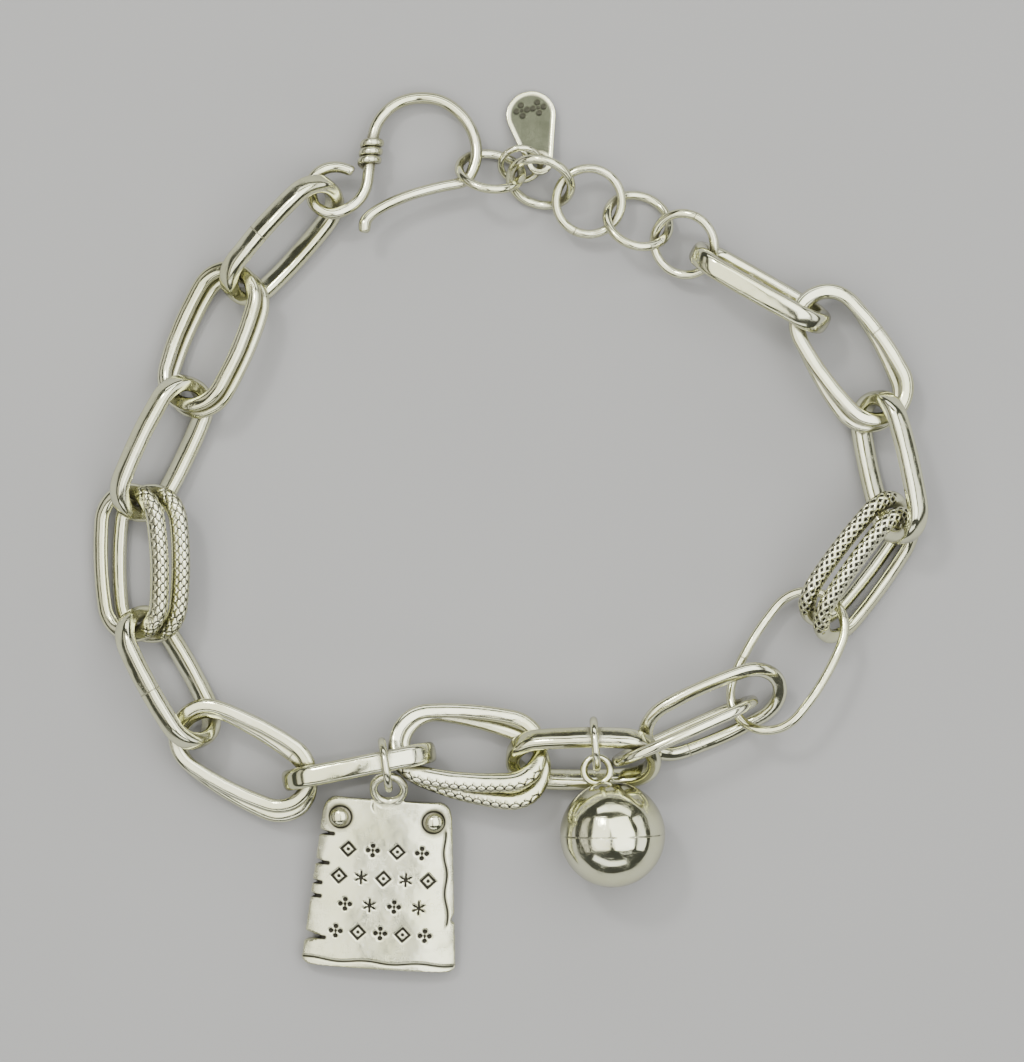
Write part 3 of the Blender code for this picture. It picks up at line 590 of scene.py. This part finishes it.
def ring(name, thickness, joint_at):
    """Stands a smooth ring in the place of a node."""
    points = node_points(name)
    centre, turn = own_axes(points)
    local = (points - centre) @ turn
    diameter = (np.ptp(local[:, 0]) + np.ptp(local[:, 1])) / 2.0
    shape = torus(diameter, thickness)
    radius = diameter / 2.0
    lay_uv(shape, lambda spot: math.atan2(spot.y, spot.x) * radius, 2.0 * math.pi * radius, joint_at)
    stand_for(to_object(name + "_smooth", shape, JOINTED, in_place(centre, turn)), name, wavy=RING_WAVES)


def diamonds(along, around, cell, rib):
    """Height of a diamond lattice: 1 on the ribs, 0 in the hollows."""
    first = (along + around) / cell
    second = (along - around) / cell
    near = min(abs(first - round(first)), abs(second - round(second))) * cell
    return max(0.0, 1.0 - max(near - rib * 0.35, 0.0) / (rib * 0.8))


def scales(along, around, cell, rib):
    """Height of rows of overlapping scales: 1 on each scale's back, 0 in the line of width rib."""
    row = math.floor(around / (cell * 0.5))
    for line in (row + 1, row, row - 1):
        offset = 0.5 * (line % 2)
        x = (along / cell - offset) - round(along / cell - offset)
        y = around / cell - line * 0.5
        reach = math.hypot(x, y)
        if reach < 0.56:
            return 1.0 - smooth_share(reach, 0.52 - rib / cell, 0.54)
    return 0.0


# How fast the wire swells toward its wide side, where on that side the pattern starts and is
# whole, as shares of half the link's width, and over how many degrees it fades round the wire
SWELL_RISE = 1.6
PATTERN_START = (0.3, 0.5)
PATTERN_FADE = 14.0


def scaled_link(name, pattern, cell, rib, depth, face):
    """A link whose swollen side carries a pattern; face is how far round it reaches, in degrees."""
    points = node_points(name)
    centre, turn = own_axes(points)
    local = (points - centre) @ turn
    top = local[:, 1].max()
    low = -local[:, 1].min()
    swollen = 1.0 if wide_side(local) else -1.0
    turn = turn * np.array([1.0, swollen, swollen])
    across, deep = PAIR_WIRE
    extra = across * (SCALE_SWELL - 1.0) / 2.0
    oval = Oval(np.ptp(local[:, 0]) - across, top + low - across - extra)
    shape = oval_wire(oval, across, deep, PAIR_FULLNESS, SCALED_SIDES, SCALED_FINENESS)
    half = oval.end_radius / END_BEND
    relief = shape.verts.layers.float.new("relief")
    for vert in shape.verts:
        x, y, z = vert.co
        line, way, out = oval.follow(x, y)
        spread = Vector((x, y)).xy - line
        radial = spread.dot(out)
        share = min(max(line.y / half, 0.0) * SWELL_RISE, 1.0)
        factor = 1.0 + (SCALE_SWELL - 1.0) * share
        around = math.atan2(z / deep, radial / across)
        girth = around * (across + deep) / 4.0 * factor
        band = smooth_share(abs(around), math.radians(face), math.radians(face - PATTERN_FADE))
        run = smooth_share(line.y / half, *PATTERN_START) * band
        height = pattern(way / MM, girth / MM, cell, rib)
        vert[relief] = 1.0 - run * (1.0 - height)
        sink = depth * run * (1.0 - height)
        normal = Vector((out.x * math.cos(around), out.y * math.cos(around), math.sin(around)))
        vert.co = Vector((*(line + out * radial * factor), z * factor)) - normal * sink
    obj = to_object(name + "_smooth", shape, SCALED, in_place(centre, turn))
    stand_for(obj, name, slot="scale_patterned_silver")


def smooth_share(value, low, high):
    share = min(max((value - low) / (high - low), 0.0), 1.0)
    return share * share * (3.0 - 2.0 * share)


def wide_side(local):
    """True where the wire is thicker on the +Y side: its corners stand further from the plane."""
    upper = local[local[:, 1] > 0.0]
    lower = local[local[:, 1] < 0.0]
    return np.ptp(upper[:, 2]) > np.ptp(lower[:, 2])


# Smoothing an eight-sided wire draws its sides in by this share of its radius
SMOOTHING_LOSS = 0.108
SMOOTHING_LEVELS = 2


def smooth_copy(name, material, thickness):
    """A node's own mesh, its triangles paired again into quads and smoothed to the same thickness."""
    shape = bmesh.new()
    shape.from_mesh(NODES[name].data)
    bmesh.ops.remove_doubles(shape, verts=shape.verts, dist=0.001 * MM)
    bmesh.ops.join_triangles(
        shape,
        faces=shape.faces,
        angle_face_threshold=math.radians(60),
        angle_shape_threshold=math.radians(80),
    )
    shape.normal_update()
    for vert in shape.verts:
        vert.co += vert.normal * (thickness / 2.0 * SMOOTHING_LOSS)
    obj = to_object(name + "_smooth", shape, material)
    modifier = obj.modifiers.new("smooth", "SUBSURF")
    modifier.levels = SMOOTHING_LEVELS
    modifier.render_levels = SMOOTHING_LEVELS
    stand_for(obj, name)


# The links whose soldered joint still shows
SEEN_JOINTS = ("link_01", "link_05", "link_06_lower", "link_10_lower", "link_14_upper")


def chain_silver(name):
    return JOINTED if name in SEEN_JOINTS else POLISHED


# How far round each single link, and the upper ring of each pair, its joint lies
LINK_JOINTS = {
    "link_01": 0.28,
    "link_03": 0.7,
    "link_05": 0.26,
    "link_07": 0.22,
    "link_09": 0.6,
    "link_13": 0.3,
    "link_15": 0.75,
}
PAIR_JOINTS = {2: 0.3, 6: 0.7, 10: 0.2, 14: 0.76}


def chain():
    """Every link, ring and wire of the chain, from the hook round to the end tag's ring."""
    for name, joint_at in LINK_JOINTS.items():
        link(name, LINK_WIRE, LINK_FULLNESS, chain_silver(name), joint_at)
    for number, joint_at in PAIR_JOINTS.items():
        for half, more in (("upper", 0.0), ("lower", 0.45)):
            name = f"link_{number:02d}_{half}"
            link(name, PAIR_WIRE, PAIR_FULLNESS, chain_silver(name), (joint_at + more) % 1.0)
    link("link_11", THIN_WIRE, ROUND_FULLNESS, JOINTED, 0.3)
    # Pattern, its cell and rib in millimetres, its depth, and how far round the wire it reaches
    for number, pattern, cell, rib, depth, face in (
        (4, scales, 0.78, 0.19, 0.07 * MM, 108.0),
        (8, scales, 0.80, 0.20, 0.07 * MM, 80.0),
        (12, diamonds, 0.78, 0.21, 0.09 * MM, 122.0),
    ):
        for half in ("upper", "lower"):
            scaled_link(f"link_{number:02d}_{half}", pattern, cell, rib, depth, face)
    for number in range(1, 6):
        ring(f"extension_ring_{number}", RING_WIRE, 0.17 * number)
    ring("end_tag_ring", END_RING_WIRE, 0.1)
    ring("tag_jump_ring", JUMP_RING_WIRE, 0.4)
    ring("ball_jump_ring", JUMP_RING_WIRE, 0.6)
    smooth_copy("hook", POLISHED, HOOK_WIRE)
    smooth_copy("hook_wrap", POLISHED, WRAP_WIRE)


def lying(lies):
    """Where a charm's own frame lies: its origin in metres and its turn."""
    place, turn = lies
    return Vector(place) * MM, Euler([math.radians(angle) for angle in turn]).to_matrix()


def hung(lies):
    """The matrix from a charm's own frame, in millimetres, to the bracelet's."""
    place, turn = lying(lies)
    return Matrix.Translation(place) @ turn.to_4x4() @ Matrix.Scale(MM, 4)


def carved(shape, cutters, joined, voxel, rounds):
    """A solid less its cutters and joined to others, as one even skin with softened edges."""
    solids = []
    for solid in [shape] + cutters + joined:
        bmesh.ops.recalc_face_normals(solid, faces=solid.faces)
        mesh = bpy.data.meshes.new("rough")
        solid.to_mesh(mesh)
        solid.free()
        solids.append(bpy.data.objects.new("rough", mesh))
        bpy.context.scene.collection.objects.link(solids[-1])
    body = solids[0]
    for index, other in enumerate(solids[1:]):
        modifier = body.modifiers.new("join", "BOOLEAN")
        modifier.operation = "DIFFERENCE" if index < len(cutters) else "UNION"
        modifier.solver = "EXACT"
        modifier.object = other
    modifier = body.modifiers.new("skin", "REMESH")
    modifier.mode = "VOXEL"
    modifier.voxel_size = voxel
    bpy.context.view_layer.update()
    skin = bmesh.new()
    skin.from_object(body, bpy.context.evaluated_depsgraph_get())
    for solid in solids:
        bpy.data.objects.remove(solid, do_unlink=True)
    for _ in range(rounds):
        bmesh.ops.smooth_vert(
            skin, verts=skin.verts, factor=0.5, use_axis_x=True, use_axis_y=True, use_axis_z=True
        )
    skin.normal_update()
    return skin


# From below the tag to above it
CUT_THROUGH = (-4.0, 4.0)


def block(outline, bottom, top):
    """A solid that stands on a flat outline."""
    shape = bmesh.new()
    face = shape.faces.new([shape.verts.new((x, y, bottom)) for x, y in outline])
    grown = bmesh.ops.extrude_face_region(shape, geom=[face])
    moved = [item for item in grown["geom"] if isinstance(item, bmesh.types.BMVert)]
    bmesh.ops.translate(shape, verts=moved, vec=(0.0, 0.0, top - bottom))
    return shape


def corner_cutter(share, side):
    """What rounds one corner of the tag: the space between its sharp corner and an arc."""
    x, y, _ = tag_surface(share, side)
    inward = -1.0 if share == 0.0 else 1.0
    radius = TAG_CORNERS[share]
    arc = [
        (x + inward * radius * (1.0 - math.cos(angle)), y - side * radius * (1.0 - math.sin(angle)))
        for angle in (math.pi / 2.0 * step / 8 for step in range(9))
    ]
    outside = [(x + inward * radius, y + side), (x - inward, y + side), (x - inward, y - side * radius)]
    return block(arc + outside, *CUT_THROUGH)


def tag_half_width(share):
    return (TAG_TOP_WIDTH + (TAG_BOTTOM_WIDTH - TAG_TOP_WIDTH) * share) / 2.0


def tag_surface(share, side):
    """The middle of the curled plate: share is the way down, side runs from -1 to 1."""
    drop = TAG_CURL * abs(side) ** 4
    return Vector((-BAIL_REACH - TAG_LENGTH * share, tag_half_width(share) * side, -drop - BAIL_RISE))


# Stamped ornaments: the way down from the tag's top edge, how many stand in the row, the
# motifs in turn, and the pitch between them, in millimetres
STAMP_ROWS = (
    (4.6, 4, ("flower", "diamond"), 2.2),
    (7.1, 5, ("diamond", "star"), 2.0),
    (9.6, 4, ("star", "flower"), 2.2),
    (12.1, 5, ("flower", "diamond"), 2.0),
)


def motif(kind, x, y):
    """How far outside a motif's lines the points lie, in millimetres."""
    reach = np.hypot(x, y)
    if kind == "diamond":
        return np.minimum(abs(abs(x) + abs(y) - 0.62) / 1.414 - 0.10, reach - 0.15)
    if kind == "flower":
        petals = np.minimum(np.hypot(abs(x) - 0.42, y), np.hypot(x, abs(y) - 0.42)) - 0.21
        return np.minimum(petals, reach - 0.13)
    rays = abs(np.cos(np.arctan2(y, x) * 3.0)) ** 2
    return reach - 0.16 - 0.5 * rays


def unit(values):
    return np.clip(values, 0.0, 1.0)


def struck(near):
    """How deep a stamp goes, from 0 to 1, by how far outside its lines the points lie."""
    return 1.0 - unit((near + 0.03) / 0.10)


# Depths, places and widths of the tag's marks, in millimetres
STAMP_DEPTH = 0.12
GROOVE_DEPTH = 0.10
GROOVE_HALF_WIDTH = 0.24
HEM_IN = 0.75
HEM_RUN = (2.2, 11.5)
FOOT_IN = 0.62
CRACK_AT = 1.15
CRACK_LENGTH = 1.3
RIVET_GROOVE = 0.98
FAR_AWAY = 9.0


def tag_relief(down, across):
    """Depth in millimetres and darkness of the tag's stamps and grooves at points of its face. The ring round
    each rivet is darkened as painted shadow of its head.
    """
    near = np.full(down.shape, FAR_AWAY)
    for row, count, kinds, pitch in STAMP_ROWS:
        for index in range(count):
            y = (index - (count - 1) / 2.0) * pitch
            near = np.minimum(near, motif(kinds[index % len(kinds)], down - row, across - y))
    stamp = struck(near)
    share = down / TAG_LENGTH
    hem_line = HEM_IN + 0.12 * np.sin(down * 1.7) - tag_half_width(share)
    hem = unit(1.0 - abs(across - hem_line) / GROOVE_HALF_WIDTH)
    hem *= unit((down - HEM_RUN[0]) * 2.0) * unit((HEM_RUN[1] - down) * 2.0)
    foot_line = TAG_LENGTH - FOOT_IN - 0.10 * np.sin(across * 1.3)
    foot = unit(1.0 - abs(down - foot_line) / GROOVE_HALF_WIDTH)
    crack = unit(1.0 - abs(across - CRACK_AT - 0.2 * np.sin(down * 3.0)) / 0.14)
    crack *= unit((CRACK_LENGTH - down) * 2.0)
    # A shallow groove round each rivet, its darkness painted shadow of the rivet's head
    around_rivet = np.zeros(down.shape)
    for side in (-1.0, 1.0):
        reach = np.hypot(down - RIVET_DOWN, across - side * RIVET_APART / 2.0)
        around_rivet = np.maximum(around_rivet, unit(1.0 - abs(reach - RIVET_GROOVE) / 0.22))
    grooves = np.maximum.reduce([hem, foot, crack, around_rivet])
    return STAMP_DEPTH * stamp + GROOVE_DEPTH * grooves, np.maximum(stamp, grooves * 0.9)


def torn_shadow(down, inside):
    """Darkness along the torn slits; inside is how far a point lies from the slit side's edge."""
    torn = np.zeros(down.shape)
    for place, long, _ in TAG_SLITS:
        line = unit(1.3 - abs(down - place * TAG_LENGTH) / 0.26)
        torn = np.maximum(torn, line * unit((long + 0.25 - inside) / 0.3))
    return torn


def tag():
    """The tag: a curled, torn plate with its bail and stamped ornaments, and its two rivets."""
    shape = bmesh.new()
    bmesh.ops.create_grid(shape, x_segments=90, y_segments=90, size=0.5)
    for vert in shape.verts:
        vert.co = tag_surface(0.5 - vert.co.x, 2.0 * vert.co.y)
    bmesh.ops.recalc_face_normals(shape, faces=shape.faces)
    bmesh.ops.solidify(shape, geom=shape.faces, thickness=TAG_THICKNESS)
    bmesh.ops.translate(shape, verts=shape.verts, vec=(0.0, 0.0, TAG_THICKNESS / 2.0))
    cutters = []
    for share, long, wide in TAG_SLITS:
        x, edge, _ = tag_surface(share, 1.0)
        wedge = [(x, edge - long), (x + wide, edge + 1.0), (x - wide, edge + 1.0)]
        cutters.append(block(wedge, *CUT_THROUGH))
    share, notch, taper = TAG_STEP
    x, edge, _ = tag_surface(share, -1.0)
    step = [(x, edge + notch), (x, edge - 1.0), (x + taper, edge - 1.0)]
    cutters.append(block(step, *CUT_THROUGH))
    for share, side in ((0.0, -1.0), (0.0, 1.0), (1.0, -1.0), (1.0, 1.0)):
        cutters.append(corner_cutter(share, side))
    bail = torus(*BAIL, sides=20, steps=60)
    bail.transform(Matrix.Rotation(math.radians(-BAIL_SLOPE), 4, "Y"))
    skin = carved(shape, cutters, [bail], TAG_VOXEL, 4)
    corners = np.array([tuple(vert.co) for vert in skin.verts])
    normals = np.array([tuple(vert.normal) for vert in skin.verts])
    down = -corners[:, 0] - BAIL_REACH
    half = tag_half_width(unit(down / TAG_LENGTH))
    side = np.clip(corners[:, 1] / half, -1.0, 1.0)
    slope = 4.0 * TAG_CURL * abs(side) ** 3 * np.sign(side) / half
    steep = np.sqrt(1.0 + slope**2)
    facing = (normals[:, 1] * slope + normals[:, 2]) / steep
    middle = -TAG_CURL * abs(side) ** 4 - BAIL_RISE
    plate = (down > 0.05) & (np.hypot(corners[:, 0], corners[:, 1]) > BAIL[0] / 2.0 + 0.1)
    flat = unit((abs(facing) - 0.93) / 0.06) * plate
    waves = 0.10 * np.sin(down * 0.9 + 0.6 * np.sin(corners[:, 1] * 0.7)) * np.cos(corners[:, 1] * 0.55)
    depth, dark = tag_relief(down, corners[:, 1])
    top = facing > 0.0
    surface = middle + np.where(top, 1.0, -1.0) * TAG_THICKNESS / 2.0 * steep
    surface += np.where(top, waves * 0.5 - depth, waves * 0.5)
    height = corners[:, 2] + flat * (surface - corners[:, 2])
    deep = skin.verts.layers.float.new("deep")
    # Painted shadow along the torn slits joins the darkness of the stamps and grooves
    shades = np.maximum(dark * flat, torn_shadow(down, half - corners[:, 1])) * top
    for vert, z, shade in zip(skin.verts, height, shades):
        vert.co.z = z
        vert[deep] = shade
    stand_for(to_object("tag_plate_smooth", skin, STAMPED, hung(TAG_LIES)), "tag_plate")
    for label, side in (("left", 1.0), ("right", -1.0)):
        rivet(label, side)


def rivet(label, side):
    """A rivet's domed head and shank, leaning as the plate does where it stands."""
    share = RIVET_DOWN / TAG_LENGTH
    across = side * RIVET_APART / 2.0 / tag_half_width(share)
    spot = tag_surface(share, across)
    lean = math.atan2(4.0 * TAG_CURL * abs(across) ** 3, tag_half_width(share)) * -side
    head, rise = RIVET_HEAD[0] / 2.0, RIVET_HEAD[1]
    under = TAG_THICKNESS / 2.0 + 0.1
    shape = bmesh.new()
    shank_end = -TAG_THICKNESS / 2.0
    profile = [(0.0, shank_end), (RIVET_SHANK, shank_end), (RIVET_SHANK, under), (head * 0.97, under)]
    profile += [
        (head * math.cos(angle), under + 0.08 + (rise - 0.08) * math.sin(angle))
        for angle in (math.pi / 2.0 * step / 10 for step in range(11))
    ]
    verts = [shape.verts.new((max(radius, 0.0), 0.0, height)) for radius, height in profile]
    edges = [shape.edges.new(pair) for pair in zip(verts, verts[1:])]
    bmesh.ops.spin(
        shape,
        geom=verts + edges,
        cent=(0.0, 0.0, 0.0),
        axis=UPWARD,
        angle=2.0 * math.pi,
        steps=32,
        use_merge=True,
    )
    bmesh.ops.remove_doubles(shape, verts=shape.verts, dist=0.0005)
    bmesh.ops.recalc_face_normals(shape, faces=shape.faces)
    matrix = hung(TAG_LIES) @ Matrix.Translation(spot) @ Matrix.Rotation(lean, 4, "X")
    obj = to_object(f"rivet_{label}_smooth", shape, POLISHED, matrix)
    stand_for(obj, f"tag_rivet_{label}", wavy=RIVET_WAVES)


def ball():
    """The ball of two soldered halves, with its bail and the drop of solder under it."""
    middle = -BALL / 2.0 - BALL_BAIL_REACH
    shape = bmesh.new()
    poles_along = Matrix.Translation((middle, 0.0, 0.0)) @ Matrix.Rotation(math.pi / 2.0, 4, "Y")
    bmesh.ops.create_uvsphere(shape, u_segments=96, v_segments=96, radius=BALL / 2.0, matrix=poles_along)
    solder = Matrix.Translation((-BALL_BAIL_REACH - 0.12, 0.0, 0.0)) @ Matrix.Diagonal((0.5, 1.0, 1.0, 1.0))
    bmesh.ops.create_uvsphere(shape, u_segments=32, v_segments=16, radius=SOLDER_DROP, matrix=solder)
    bail = torus(*BALL_BAIL)
    bail_mesh = bpy.data.meshes.new("bail")
    bail.to_mesh(bail_mesh)
    bail.free()
    shape.from_mesh(bail_mesh)
    stand_for(to_object("ball_smooth", shape, SEAMED, hung(BALL_LIES)), "ball")


def end_tag():
    """The teardrop: a dull field inside a raised bright rim, with a hole in its neck."""
    length, width, neck, thickness = END_TAG
    big, small = width / 2.0, neck / 2.0
    big_at = big + small - length
    shape = bmesh.new()
    for centre, radius in ((0.0, small), (big_at, big)):
        for z in (-thickness / 2.0, thickness / 2.0):
            bmesh.ops.create_circle(
                shape, cap_ends=False, segments=64, radius=radius, matrix=Matrix.Translation((centre, 0.0, z))
            )
    bmesh.ops.delete(shape, geom=list(shape.edges), context="EDGES_FACES")
    bmesh.ops.convex_hull(shape, input=shape.verts)
    hole = bmesh.new()
    bmesh.ops.create_cone(
        hole, cap_ends=True, segments=48, radius1=END_TAG_HOLE / 2.0, radius2=END_TAG_HOLE / 2.0, depth=2.0
    )
    skin = carved(shape, [hole], [], END_TAG_VOXEL, 3)
    corners = np.array([tuple(vert.co) for vert in skin.verts])
    facing = np.array([vert.normal.z for vert in skin.verts])
    inside = teardrop_depth(corners[:, 0], corners[:, 1], big_at, big, small)
    inside = np.minimum(inside, np.hypot(corners[:, 0], corners[:, 1]) - END_TAG_HOLE / 2.0)
    field = unit((inside - END_RIM) / 0.16) * unit((facing - 0.6) / 0.3)
    marks = np.zeros(len(corners))
    along, side = (corners[:, 0] + END_STAMP_DOWN) / END_STAMP_SIZE, corners[:, 1] / END_STAMP_SIZE
    for apart in (END_STAMP_APART, -END_STAMP_APART):
        marks = np.maximum(marks, struck(motif("flower", along, side - apart / END_STAMP_SIZE)))
    deep = skin.verts.layers.float.new("deep")
    stamp = skin.verts.layers.float.new("stamp")
    for vert, share, mark in zip(skin.verts, field, marks * field):
        vert.co.z -= share * END_FIELD_DEPTH + mark * END_STAMP_DEPTH
        vert[deep] = share
        vert[stamp] = mark
    stand_for(to_object("end_tag_smooth", skin, SATIN, hung(END_TAG_LIES)), "end_tag")


def teardrop_depth(x, y, big_at, big, small):
    """How far inside the teardrop's edge the points lie, in its own plane."""
    apart = -big_at
    along = -x
    side = abs(y)
    lean = (big - small) / apart
    straight = math.sqrt(1.0 - lean**2)
    across = side * straight - along * lean
    way = along * straight + side * lean
    edge = np.where(
        way < 0.0,
        small - np.hypot(along, side),
        np.where(way > apart * straight, big - np.hypot(along - apart, side), small - across),
    )
    return edge


def place_camera():
    camera = bpy.data.cameras.new("camera")
    camera.sensor_fit = "VERTICAL"
    camera.sensor_height = 24.0
    camera.lens = camera.sensor_height / 2.0 / (VIEW_SIZE / 2.0 / CAMERA_HEIGHT)
    camera.clip_start = 0.01
    camera.clip_end = 20.0
    obj = bpy.data.objects.new("camera", camera)
    obj.location = (*VIEW_CENTRE, CAMERA_HEIGHT)
    bpy.context.scene.collection.objects.link(obj)
    bpy.context.scene.camera = obj


def softbox(name, place, aim, size, power, colour=(1.0, 1.0, 1.0)):
    light = bpy.data.lights.new(name, "AREA")
    light.shape = "RECTANGLE"
    light.size, light.size_y = size
    light.energy = power
    light.color = colour
    obj = bpy.data.objects.new(name, light)
    obj.location = place
    obj.rotation_euler = (Vector(aim) - Vector(place)).to_track_quat("-Z", "Y").to_euler()
    bpy.context.scene.collection.objects.link(obj)


def panel(name, azimuth, zenith, distance, size, radiance, colour=(1.0, 1.0, 1.0)):
    """A soft light at a place on the sky, aimed at the bracelet; radiance is how bright it looks."""
    around, down = math.radians(azimuth), math.radians(zenith)
    level = math.sin(down)
    place = Vector((level * math.cos(around), level * math.sin(around), math.cos(down))) * distance
    softbox(name, place, (0.0, 0.0, 0.0), size, radiance * math.pi * size[0] * size[1], colour)


def stage():
    shape = bmesh.new()
    bmesh.ops.create_grid(shape, x_segments=1, y_segments=1, size=1.5)
    paint = Paint("pale_table")
    paint.shader.inputs["Metallic"].default_value = 0.0
    paint.shader.inputs["Roughness"].default_value = 0.8
    cloud = paint.noise(paint.place(), 0.02, 2.0)
    paint.finish(colour=paint.mix(cloud, (0.335, 0.335, 0.33), (0.365, 0.365, 0.36)))
    floor = to_object("table", shape, paint.material)
    # Azimuth and angle from straight up in degrees, distance and size in metres, radiance
    panel("right", 8, 23, 0.9, (1.35, 0.74), 3.4)
    panel("left", 176, 25, 0.9, (1.35, 0.72), 2.3, (1.0, 0.98, 0.92))
    panel("back", 84, 62, 0.95, (1.2, 0.26), 2.4)
    panel("front", -96, 62, 0.95, (1.1, 0.22), 1.8)
    panel("right_low", 2, 66, 0.95, (1.2, 0.34), 1.7)
    panel("left_low", 182, 66, 0.95, (1.2, 0.22), 0.8, (1.0, 0.96, 0.88))
    panel("key", 125, 36, 0.9, (0.12, 0.12), 48.0)
    world = bpy.data.worlds.new("studio")
    world.use_nodes = True
    background = world.node_tree.nodes["Background"]
    background.inputs["Color"].default_value = (0.06, 0.061, 0.06, 1.0)
    background.inputs["Strength"].default_value = 1.0
    bpy.context.scene.world = world


POLISHED = polished()
JOINTED = jointed()
SCALED = scaled()
STAMPED = stamped()
SEAMED = seamed()
SATIN = satin()

place_camera()
stage()
chain()
tag()
ball()
end_tag()
